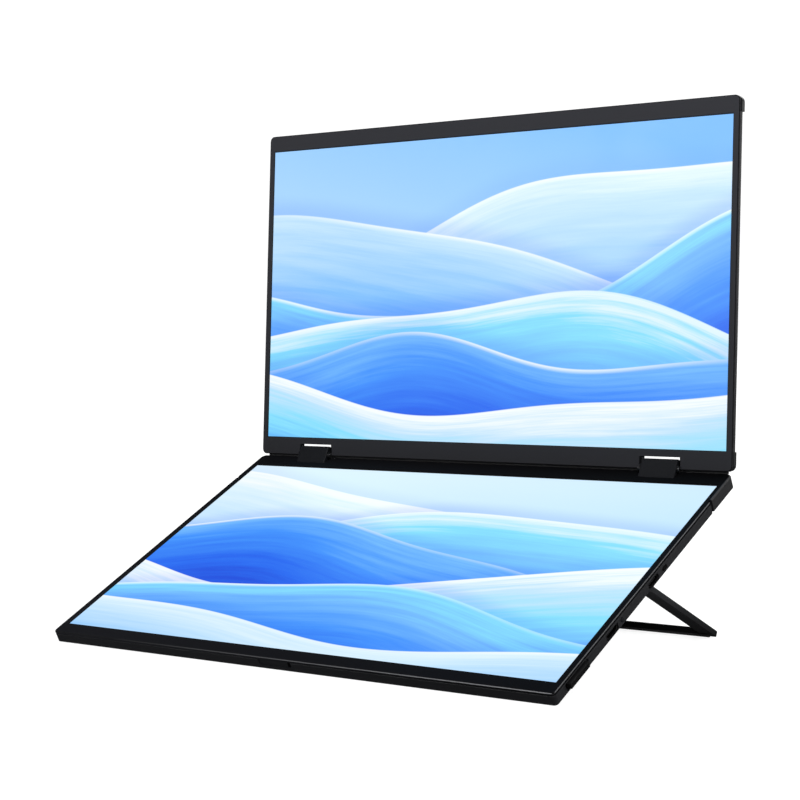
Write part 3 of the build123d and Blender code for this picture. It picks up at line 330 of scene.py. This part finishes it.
def board(name):
    """Solder mask over copper: traces, pads and a fine weave under the lacquer."""
    t = Tree(name)
    q = t.local(LOW_DEG)
    x, y, z = t.xyz(q)
    weave = t.math("MULTIPLY", t.math("SINE", t.math("MULTIPLY", x, 9000.0)), t.math("SINE", t.math("MULTIPLY", y, 9000.0)))
    trace = t.span(t.math("ABSOLUTE", t.math("SINE", t.math("ADD", t.math("MULTIPLY", x, 2600.0), t.math("MULTIPLY", t.noise(q, 90.0, 1.0), 30.0)))), 0.75, 0.85)
    pads = t.span(t.cells(q, 420.0, spread=0.35), 0.16, 0.12)
    base = t.mix(trace, (0.012, 0.075, 0.04, 1.0), (0.02, 0.13, 0.065, 1.0))
    base = t.mix(t.math("MULTIPLY", weave, 0.12), base, (0.03, 0.16, 0.09, 1.0))
    base = t.mix(t.math("MULTIPLY", pads, 0.9), base, (0.55, 0.5, 0.38, 1.0))
    t.set(Base_Color=base, Roughness=t.math("MULTIPLY_ADD", trace, 0.1, 0.32), Normal=t.bump(t.math("ADD", trace, pads), 0.02 * MM, 0.6))
    return t.mat


def film(name, colour, lines, degrees=LOW_DEG, rough=0.35):
    """Flexible film with printed conductors running along it."""
    t = Tree(name)
    x, y, z = t.xyz(t.local(degrees))
    track = t.span(t.math("SINE", t.math("MULTIPLY", x, 2 * math.pi / (lines * MM))), -0.2, 0.2)
    grain = t.noise(t.coords(), 1500.0, 2.0)
    base = t.mix(track, colour, shade(colour, 1.7))
    base = t.mix(1.0, base, t.grey(t.math("MULTIPLY_ADD", grain, 0.3, 0.85)), "MULTIPLY")
    t.set(Base_Color=base, Roughness=t.math("MULTIPLY_ADD", grain, 0.15, rough - 0.07), Normal=t.bump(track, 0.02 * MM, 0.6))
    return t.mat


def sheet(name, colour, rough):
    """Clear and white optical sheets of the backlight: a fine dot pattern under a faint haze."""
    t = Tree(name)
    p = t.coords()
    dots = t.span(t.cells(p, 900.0, spread=0.1), 0.42, 0.3)
    haze = t.noise(p, 20.0, 3.0)
    base = t.mix(t.math("MULTIPLY", dots, 0.5), colour, (0.95, 0.96, 0.97, 1.0))
    base = t.mix(1.0, base, t.grey(t.math("MULTIPLY_ADD", haze, 0.08, 0.95)), "MULTIPLY")
    t.set(Base_Color=base, Roughness=t.math("MULTIPLY_ADD", dots, 0.2, rough), Normal=t.bump(dots, 0.01 * MM, 0.4))
    return t.mat


WHITE, ICE, PALE = lin(246, 252, 255), lin(222, 243, 255), lin(196, 229, 255)
SKY, CYAN, LIGHT = lin(164, 211, 255), lin(132, 222, 252), lin(112, 184, 255)
AZURE, ROYAL, DEEP = lin(62, 146, 252), lin(30, 104, 240), lin(16, 66, 214)


def screen(name, degrees, cy, front, sky, hills):
    """Lit panel: a picture of overlapping rolling hills in blues, inside a dark printed border, under anti-glare film."""
    t = Tree(name)
    q = t.local(degrees)
    x, y, z = t.xyz(q)
    y0 = t.math("SUBTRACT", y, cy)
    half = ACTIVE_W / 2
    u = t.math("DIVIDE", x, half)
    v = t.math("DIVIDE", y0, half)
    colour = t.ramp(t.span(t.math("MULTIPLY_ADD", u, sky[0], v), -0.75, 0.75, smooth=False), sky[1])
    for h in hills:
        crest = t.math("MULTIPLY_ADD", t.math("SINE", t.math("MULTIPLY_ADD", u, h["f"], h["p"])), h["a"], h["c"])
        crest = t.math("MULTIPLY_ADD", t.math("SINE", t.math("MULTIPLY_ADD", u, h["g"], h["q"])), h["b"], crest)
        crest = t.math("MULTIPLY_ADD", u, h.get("tilt", 0.0), crest)
        below = t.math("SUBTRACT", crest, v)
        depth = t.span(below, 0.0, h["depth"], smooth=False)
        # light runs along the slope and fades towards the foot of the hill
        sway = t.math("MULTIPLY_ADD", t.math("SINE", t.math("MULTIPLY_ADD", u, h["k"], h["r"])), 0.5, 0.5)
        slide = t.math("MULTIPLY_ADD", sway, h.get("sway", 0.24), -h.get("sway", 0.24) / 2, clamp=False)
        at = t.math("ADD", depth, t.math("MULTIPLY", slide, t.span(depth, 0.0, 0.3)))
        # combed streaks that follow the crest, finer near it
        comb = t.join(t.math("MULTIPLY", u, 1.6), t.math("MULTIPLY", t.math("POWER", depth, 0.75), h.get("lines", 15.0)), h["p"] * 3.0)
        streak = t.noise(comb, 1.0, 5.0, 0.62)
        at = t.math("ADD", at, t.math("MULTIPLY_ADD", streak, h.get("line", 0.62), -h.get("line", 0.62) / 2))
        fill = t.ramp(at, h["stops"])
        rim = t.math("MULTIPLY", t.span(below, 0.020, 0.0), t.math("MULTIPLY_ADD", sway, 0.6, 0.25))
        fill = t.mix(rim, fill, h.get("rim", WHITE))
        # soft shade that the hill throws on what is behind it
        veil = t.math("MULTIPLY", t.span(below, -0.09, 0.0), h.get("veil", 0.22))
        colour = t.mix(veil, colour, h.get("veil_colour", ROYAL))
        colour = t.mix(t.span(below, -0.0022, 0.0022), colour, fill)
    inside = t.math("MULTIPLY", t.math("LESS_THAN", t.math("ABSOLUTE", x), ACTIVE_W / 2),
                    t.math("LESS_THAN", t.math("ABSOLUTE", y0), ACTIVE_H / 2))
    inside = t.math("MULTIPLY", inside, t.math("GREATER_THAN", z, front - 0.06 * MM))
    glow = t.mix(inside, (0.0, 0.0, 0.0, 1.0), colour)
    haze = t.noise(t.coords(), 4200.0, 2.0, 0.6)
    smear = t.noise(t.coords(), 16.0, 4.0, 0.6, 0.6)
    base = t.mix(inside, (0.004, 0.004, 0.005, 1.0), (0.010, 0.012, 0.016, 1.0))
    r = t.math("MULTIPLY_ADD", smear, 0.12, 0.30)
    t.set(Base_Color=base, Roughness=r, Specular_IOR_Level=0.35, Emission_Color=glow,
          Normal=t.bump(haze, 0.004 * MM, 0.5))
    t.bsdf.inputs["Emission Strength"].default_value = 1.0
    return t.mat


def hill(c, a, f, p, b, g, q, stops, depth=0.55, k=2.6, r=0.0, **more):
    return dict(c=c, a=a, f=f, p=p, b=b, g=g, q=q, stops=stops, depth=depth, k=k, r=r, **more)


UPPER_SKY = (0.35, [(0.0, PALE), (0.55, SKY), (1.0, LIGHT)])
UPPER_HILLS = [
    hill(0.26, 0.10, 2.3, 0.4, 0.025, 5.1, 1.2, [(0.0, ICE), (0.25, PALE), (0.7, SKY), (1.0, LIGHT)], 0.55, 2.1, 0.3, tilt=0.10, veil=0.10),
    hill(0.13, 0.13, 2.0, 2.9, 0.03, 4.3, 0.4, [(0.0, PALE), (0.3, SKY), (0.75, LIGHT), (1.0, AZURE)], 0.5, 2.9, 1.8, tilt=-0.06),
    hill(0.00, 0.12, 2.6, 4.6, 0.03, 5.3, 2.2, [(0.0, CYAN), (0.25, LIGHT), (0.65, AZURE), (1.0, ROYAL)], 0.45, 3.3, 4.1, tilt=0.12),
    hill(-0.12, 0.11, 2.2, 0.9, 0.03, 4.7, 5.0, [(0.0, ICE), (0.22, CYAN), (0.6, LIGHT), (1.0, AZURE)], 0.45, 2.4, 2.7, tilt=-0.05),
    hill(-0.25, 0.10, 2.4, 2.7, 0.025, 5.6, 3.1, [(0.0, LIGHT), (0.3, AZURE), (0.7, ROYAL), (1.0, DEEP)], 0.40, 3.0, 0.9, tilt=0.07),
    hill(-0.38, 0.08, 2.0, 5.0, 0.02, 4.9, 0.2, [(0.0, WHITE), (0.25, PALE), (0.6, CYAN), (1.0, AZURE)], 0.32, 2.7, 3.4, tilt=-0.03),
]
LOWER_SKY = (-0.30, [(0.0, SKY), (0.5, PALE), (1.0, ICE)])
LOWER_HILLS = [
    hill(0.34, 0.08, 2.2, 3.6, 0.02, 5.0, 0.7, [(0.0, WHITE), (0.25, ICE), (0.65, PALE), (1.0, SKY)], 0.55, 2.4, 2.0, tilt=-0.08, veil=0.10),
    hill(0.19, 0.12, 2.5, 0.9, 0.03, 4.6, 2.6, [(0.0, ICE), (0.3, CYAN), (0.7, LIGHT), (1.0, AZURE)], 0.5, 3.1, 0.2, tilt=0.06),
    hill(0.03, 0.13, 2.1, 2.2, 0.03, 5.4, 4.4, [(0.0, LIGHT), (0.3, AZURE), (0.7, ROYAL), (1.0, DEEP)], 0.5, 2.7, 3.9, tilt=-0.09),
    hill(-0.12, 0.11, 2.7, 5.2, 0.025, 4.4, 1.4, [(0.0, WHITE), (0.22, PALE), (0.6, CYAN), (1.0, LIGHT)], 0.42, 3.4, 1.2, tilt=0.08),
    hill(-0.27, 0.10, 2.3, 1.4, 0.02, 5.7, 0.1, [(0.0, CYAN), (0.28, LIGHT), (0.7, AZURE), (1.0, ROYAL)], 0.4, 2.5, 2.9, tilt=-0.04),
    hill(-0.42, 0.07, 2.0, 4.1, 0.02, 4.8, 3.7, [(0.0, ICE), (0.3, PALE), (0.65, SKY), (1.0, LIGHT)], 0.3, 2.9, 5.0),
]

M = {
    # painted shade: the bevelled outer edge is near-black to read as a shadowed gap, and the bezel is darker towards
    # its bottom edge
    "upper_bezel": moulded("upper_bezel", (0.0222, 0.0226, 0.0266, 1), 0.60, 0.10, degrees=UPP_DEG, edge=(0.0007, 0.0007, 0.0008, 1),
                           edge_rough=0.9, outline=(SIDE, 1.66 * MM, 217.9 * MM), painted_light_ramp=[(1, 5.0 * MM, 212.0 * MM, 0.68, 1.04)]),
    # painted highlight along the outer bevelled edges, brighter towards the right end; painted light and shade on the
    # face, lighter towards the left end and darker towards the hinge
    "lower_bezel": moulded("lower_bezel", (0.0040, 0.0041, 0.0050, 1), 0.56, 0.03, degrees=LOW_DEG, edge=(0.029, 0.0295, 0.031, 1),
                           edge_rough=0.22, outline=(SIDE, -LOW_FRONT, 40.0 * MM), lip=(0.40, 0.30), painted_highlight_run=(-130.0 * MM, 160.0 * MM, 0.3, 4.6),
                           painted_light_ramp=[(1, -205.0 * MM, 0.0, 1.1, 0.5), (0, -150.0 * MM, 170.0 * MM, 2.0, 0.54)]),
    # painted light: the right-facing sides of the cover are coloured lighter
    "cover": brushed("cover", (0.024, 0.0245, 0.0265, 1), LOW_DEG, 0.44, 0.24, (0.0054, 0.0056, 0.0068, 1), painted_side_light=1.3),
    "back": brushed("back", (0.024, 0.0245, 0.0265, 1), UPP_DEG, 0.42, 0.30, (0.0105, 0.0107, 0.0118, 1)),
    "corner": moulded("corner", (0.0066, 0.0068, 0.0076, 1), 0.48, 0.26),
    "screen_upper": screen("screen_upper", UPP_DEG, UPP_CY, -0.75 * MM, UPPER_SKY, UPPER_HILLS),
    "screen_lower": screen("screen_lower", LOW_DEG, LOW_CY, -0.85 * MM, LOWER_SKY, LOWER_HILLS),
    "light_guide": sheet("light_guide", (0.78, 0.81, 0.85, 1), 0.25),
    "led_bar": sheet("led_bar", (0.78, 0.75, 0.60, 1), 0.40),
    "steel": metal("steel", (0.55, 0.56, 0.58, 1), 0.34),
    "dark_steel": metal("dark_steel", (0.035, 0.035, 0.037, 1), 0.42),
    "pin_steel": metal("pin_steel", (0.62, 0.62, 0.63, 1), 0.24, (900.0, 900.0, 900.0)),
    "board": board("board"),
    "chip": moulded("chip", (0.014, 0.014, 0.015, 1), 0.5, 0.4, grain=0.12),
    "switch": moulded("switch", (0.05, 0.05, 0.05, 1), 0.45, 0.4, grain=0.15),
    "socket": metal("socket", (0.022, 0.022, 0.024, 1), 0.42, (60.0, 900.0, 900.0)),
    "gold": metal("gold", (0.42, 0.29, 0.11, 1), 0.30, (80.0, 1200.0, 1200.0)),
    "flex": film("flex", (0.30, 0.15, 0.035, 1), 0.9),
    "cable": film("cable", (0.018, 0.018, 0.019, 1), 1.1),
    "rubber": rubber("rubber", (0.013, 0.013, 0.0135, 1)),
    "screw": metal("screw", (0.075, 0.075, 0.08, 1), 0.36, (700.0, 700.0, 700.0)),
    "knuckle": painted("knuckle", (0.0052, 0.0056, 0.0070, 1), 0.52, 0.12),
    # painted shade: the stand is coloured darker towards the floor
    "stand_metal": painted("stand_metal", (0.0090, 0.0094, 0.0108, 1), 0.48, 0.20, painted_floor_shade=(0.0, 38.0 * MM, 0.10, 1.2)),
    # painted shade: the crossbar's forward-facing faces are coloured near-black
    "stand_bar": painted("stand_bar", (0.0088, 0.0092, 0.0102, 1), 0.60, 0.03, (0.0024, 0.0025, 0.0027, 1)),
    "key": moulded("key", (0.0026, 0.0027, 0.0030, 1), 0.52, 0.12, grain=0.2),
    "power_key": moulded("power_key", (0.0012, 0.0012, 0.0014, 1), 0.55, 0.05, grain=0.2),
    "foam": rubber("foam", (0.006, 0.006, 0.0065, 1), 0.9),
    # painted shade: near-black finish for the pad that stands for the shadow in the finger scoop
    "painted_scoop_shade": moulded("painted_scoop_shade", (0.0010, 0.0010, 0.0011, 1), 0.85, 0.03, grain=0.15, depth=0.04),
}

lens = Tree("lens")
lens_grain = lens.noise(lens.coords(), 2500.0, 2.0)
lens.set(Base_Color=lens.mix(lens_grain, (0.004, 0.0045, 0.005, 1), (0.009, 0.010, 0.012, 1)),
         Roughness=lens.math("MULTIPLY_ADD", lens_grain, 0.2, 0.45), Specular_IOR_Level=0.05,
         Normal=lens.bump(lens_grain, 0.01 * MM, 0.5))
M["lens"] = lens.mat

SLOT_LOOK = {s["node"]: s["material_slot"] for s in frame["record"]["subparts"]}
OTHER = {
    "upper_lcd_cell": "screen_upper", "lower_lcd_cell": "screen_lower", "hinge_upper_leaves": "dark_steel",
    "hinge_shafts": "pin_steel", "stand_pivot_pins": "pin_steel", "stand_crossbar": "stand_bar", "power_button": "power_key",
    "upper_back_cover": "back",
}
for node, ob in NODES.items():
    look = M[OTHER.get(node, SLOT_LOOK[node])]
    ob.data.materials.clear()
    ob.data.materials.append(look)


# ---------------------------------------------------------------- detail pieces
def piece(name, bm, look, body, plane=None):
    """A mesh from a bmesh given in millimetres in a plane's own coordinates."""
    me = bpy.data.meshes.new(name)
    bm.normal_update()
    bm.to_mesh(me)
    bm.free()
    me.transform(Matrix.Scale(MM, 4))
    if plane is not None:
        me.transform(plane)
    me.materials.append(M[look])
    ob = bpy.data.objects.new(name, me)
    bpy.context.scene.collection.objects.link(ob)
    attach(ob, body)
    return ob


def block(bm, lo, hi, round_by=0.0, segments=2):
    """A block between two corners, its edges rounded."""
    part = bmesh.ops.create_cube(bm, size=1.0)["verts"]
    for v in part:
        v.co = Vector(((lo[i] + hi[i]) / 2 + v.co[i] * (hi[i] - lo[i]) for i in range(3)))
    if round_by:
        edges = list({e for v in part for e in v.link_edges})
        bmesh.ops.bevel(bm, geom=edges, offset=round_by, segments=segments, affect="EDGES", profile=0.5)


def ring(bm, w, h, cy, wide, z0, z1, soft):
    """A rectangular ring that lies inside w by h, wide across, from z0 up to z1, its inner top edge bevelled."""
    rows = []
    for inset, z in ((0.0, z0), (0.0, z1), (wide - soft, z1), (wide, z1 - soft), (wide, z0)):
        a, b = w / 2 - inset, h / 2 - inset
        rows.append([bm.verts.new((sx * a, cy + sy * b, z)) for sx, sy in ((-1, -1), (1, -1), (1, 1), (-1, 1))])
    for i in range(len(rows)):
        one, two = rows[i], rows[(i + 1) % len(rows)]
        for j in range(4):
            k = (j + 1) % 4
            bm.faces.new((one[j], one[k], two[k], two[j]))
    bmesh.ops.recalc_face_normals(bm, faces=bm.faces)


bm = bmesh.new()
ring(bm, 345.0, 194.4, -108.4, 0.34, -0.85, -0.66, 0.09)
piece("lower_screen_gasket", bm, "foam", "base", LOW)
bm = bmesh.new()
ring(bm, 345.0, 194.4, 110.25, 0.34, -0.75, -0.58, 0.08)
piece("upper_screen_gasket", bm, "foam", "upper_screen", UPP)


def from_front(u):
    return -214.9 + u


# contact fingers on the tongues of the two sockets
bm = bmesh.new()
for i in range(12):
    y = from_front(110.1) + (i - 5.5) * 0.5
    for z0, z1 in ((-4.50, -4.475), (-5.225, -5.20)):
        block(bm, (170.6, y - 0.13, z0), (175.1, y + 0.13, z1))
piece("usb_c_contacts", bm, "gold", "base", LOW)
bm = bmesh.new()
for i in range(10):
    y = from_front(61.6) + (i - 4.5) * 0.8
    for z0, z1 in ((-4.45, -4.42), (-5.08, -5.05)):
        block(bm, (170.6, y - 0.2, z0), (174.9, y + 0.2, z1))
piece("mini_hdmi_contacts", bm, "gold", "base", LOW)

# painted shade: a near-black pad in the deep end of the finger scoop stands for the shadow there
bm = bmesh.new()
block(bm, (5.15, -214.10, -5.15), (7.85, -213.42, -1.95), 0.2)
piece("scoop_shade_pad", bm, "painted_scoop_shade", "base", LOW)

# woven mesh behind the sound slots
bm = bmesh.new()
for side in (-1, 1):
    cx, cy = side * 78.0, from_front(58.0)
    for i in range(41):
        x = cx - 14.0 + 0.7 * i
        block(bm, (x - 0.14, cy - 5.3, -6.58), (x + 0.14, cy + 5.3, -6.48))
    for i in range(16):
        y = cy - 5.25 + 0.7 * i
        block(bm, (cx - 14.6, y - 0.14, -6.55), (cx + 14.6, y + 0.14, -6.45))
piece("speaker_mesh", bm, "dark_steel", "base", LOW)

# ---------------------------------------------------------------- stage, light and camera
bm = bmesh.new()
rows = []
PROFILE = [(0.0, 0.0), (1.4, 0.0), (2.8, 0.0)] + [(2.8 + 0.9 * math.sin(t), 0.9 - 0.9 * math.cos(t)) for t in [math.radians(7.5 * i) for i in range(1, 13)]] + [(3.7, 1.6)]
TURNS = 96
for r, z in PROFILE:
    if r == 0.0:
        rows.append([bm.verts.new((0.0, 0.0, -0.0002))] * TURNS)
    else:
        rows.append([bm.verts.new((r * math.cos(2 * math.pi * i / TURNS), r * math.sin(2 * math.pi * i / TURNS), z - 0.0002)) for i in range(TURNS)])
for one, two in zip(rows, rows[1:]):
    for i in range(TURNS):
        k = (i + 1) % TURNS
        bm.faces.new((one[i], two[i], two[k]) if one[i] is one[k] else (one[i], two[i], two[k], one[k]))
bmesh.ops.recalc_face_normals(bm, faces=bm.faces)
floor_mesh = bpy.data.meshes.new("floor")
bm.to_mesh(floor_mesh)
bm.free()
for f in floor_mesh.polygons:
    f.use_smooth = True
floor = bpy.data.objects.new("floor", floor_mesh)
bpy.context.scene.collection.objects.link(floor)
# the white sweep stays out of the gloss, so that dark plastic reads as dark
floor.visible_glossy = False
t = Tree("floor")
grain = t.noise(t.coords(), 6.0, 3.0)
t.set(Base_Color=t.ramp(grain, [(0.3, (0.27, 0.271, 0.272, 1)), (0.7, (0.29, 0.291, 0.292, 1))]),
      Roughness=t.math("MULTIPLY_ADD", grain, 0.1, 0.7), Specular_IOR_Level=0.1)
t.bsdf.inputs["Emission Color"].default_value = (1.0, 1.0, 1.0, 1.0)
t.bsdf.inputs["Emission Strength"].default_value = 0.86
floor_mesh.materials.append(t.mat)

world = bpy.data.worlds.new("studio")
bpy.context.scene.world = world
world.use_nodes = True
world.node_tree.nodes["Background"].inputs["Color"].default_value = (0.96, 0.98, 1.0, 1.0)
world.node_tree.nodes["Background"].inputs["Strength"].default_value = 0.05


def area(name, at, to, size, watts, colour=(1, 1, 1)):
    data = bpy.data.lights.new(name, "AREA")
    data.shape = "RECTANGLE"
    data.size, data.size_y = size
    data.energy = watts
    data.color = colour
    ob = bpy.data.objects.new(name, data)
    bpy.context.scene.collection.objects.link(ob)
    ob.location = at
    ob.rotation_euler = (Vector(to) - Vector(at)).to_track_quat("-Z", "Y").to_euler()
    return ob


area("main", (0.95, -0.95, 1.05), (0.05, 0.02, 0.16), (0.7, 0.7), 15.0)
area("edge", (-1.17, -2.07, 1.06), (0.1, -0.1, 0.02), (0.7, 0.3), 15.0)
area("top", (0.1, -0.3, 2.3), (0.0, 0.0, 0.0), (2.0, 2.0), 18.0)
area("rim", (1.25, 1.30, 2.1), (0.0, 0.0, 0.1), (1.2, 0.9), 16.0)
area("right", (2.3, 0.45, 0.85), (0.0, 0.0, 0.08), (1.0, 0.8), 14.0)
area("sheen", (1.75, 2.45, 0.5), (0.1, 0.0, 0.08), (1.2, 0.8), 11.0)
area("behind", (-0.55, 2.35, 1.15), (0.0, 0.1, 0.16), (1.5, 1.0), 26.0)

cam_data = bpy.data.cameras.new("camera")
cam = bpy.data.objects.new("camera", cam_data)
bpy.context.scene.collection.objects.link(cam)
YAW, PITCH, ROLL = math.radians(36.4414), math.radians(4.235), math.radians(-2.2917)
FOCAL = 1858.447
PRINCIPAL = (408.696, 393.933)
ahead = Vector((-math.sin(YAW) * math.cos(PITCH), math.cos(YAW) * math.cos(PITCH), -math.sin(PITCH)))
right = Vector((math.cos(YAW), math.sin(YAW), 0.0))
up = right.cross(ahead)
r2 = math.cos(ROLL) * right + math.sin(ROLL) * up
u2 = -math.sin(ROLL) * right + math.cos(ROLL) * up
turn = Matrix((r2, u2, -ahead)).transposed().to_4x4()
cam.matrix_world = Matrix.Translation(Vector((655.275 * MM, -955.439 * MM, 131.705 * MM)) + HINGE) @ turn
cam_data.sensor_width = 36.0
cam_data.lens = FOCAL * 36.0 / 800.0
cam_data.shift_x = -(PRINCIPAL[0] - 400.0) / 800.0
cam_data.shift_y = (PRINCIPAL[1] - 400.0) / 800.0
cam_data.clip_start, cam_data.clip_end = 0.01, 60.0
bpy.context.scene.camera = cam

scene = bpy.context.scene
scene.view_settings.view_transform = "Standard"
scene.view_settings.look = "None"
scene.view_settings.exposure = 0.0
scene.view_settings.gamma = 1.0
